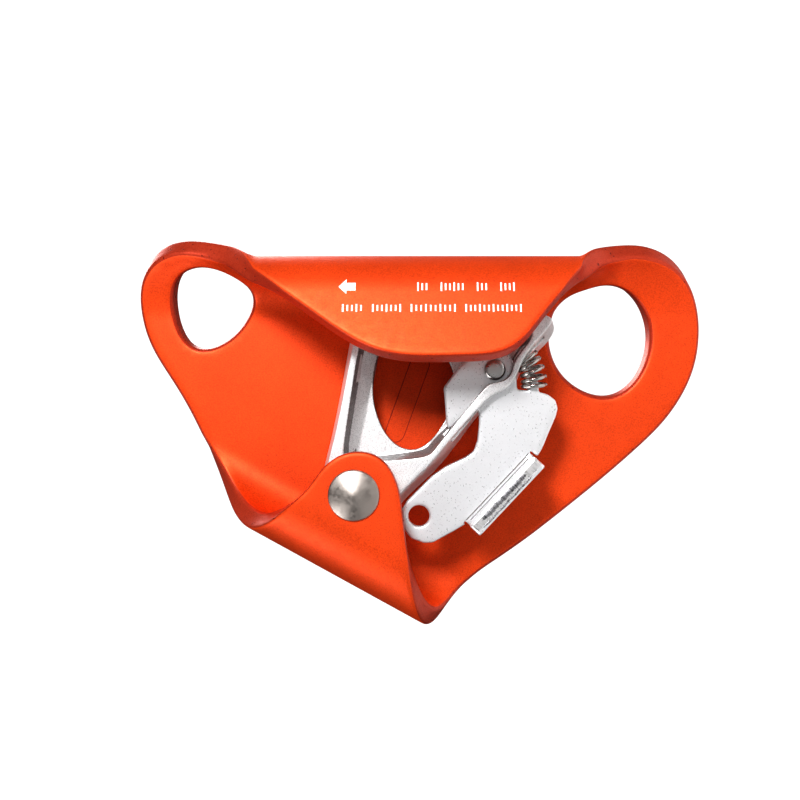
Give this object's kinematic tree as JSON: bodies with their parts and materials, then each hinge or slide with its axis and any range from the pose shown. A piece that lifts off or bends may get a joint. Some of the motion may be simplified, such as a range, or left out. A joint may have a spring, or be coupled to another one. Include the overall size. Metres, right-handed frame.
{
  "type": "rope grab",
  "caption": "Folded plate rope grab with a rope channel along one edge, a sprung toothed cam on a rivet and a sprung thumb catch on the cam.",
  "frame": {"origin": "centre of the lower attachment hole, halfway through the plate", "axes": "+Z in the direction of travel up the rope, +X towards the rope channel, -Y towards the front (ear and rivet head)"},
  "size_m": [0.0763, 0.0297, 0.113],
  "materials": {
    "plate": "satin anodised aluminium",
    "cam": "satin plated casting",
    "catch": "tumbled, plated",
    "rivet": "turned stainless",
    "spring": "drawn wire"
  },
  "bodies": {
    "frame": {"body_plate": "plate", "pivot_rivet": "rivet", "pivot_washer": "rivet", "pivot_bush": "rivet", "cam_spring": "spring"},
    "cam": {"cam": "cam", "catch_pin": "rivet", "catch_pin_washer": "rivet", "catch_spring": "spring"},
    "catch": {"catch": "catch"}
  },
  "joints": [
    {"name": "cam_pivot", "type": "hinge", "parent": "frame", "child": "cam", "pos_m": [-0.0298, -0.009, 0.0483], "axis": [0, 1, 0], "range_deg": [0, 25], "stiffness_Nm_per_rad": 0.05, "springref_deg": -34.38, "deforming": ["cam_spring"]},
    {"name": "catch_pivot", "type": "hinge", "parent": "cam", "child": "catch", "pos_m": [-0.0059, -0.0112, 0.0214], "axis": [0, -1, 0], "range_deg": [0, 22], "stiffness_Nm_per_rad": 0.01, "springref_deg": -22.92, "deforming": ["catch_spring"]}
  ]
}
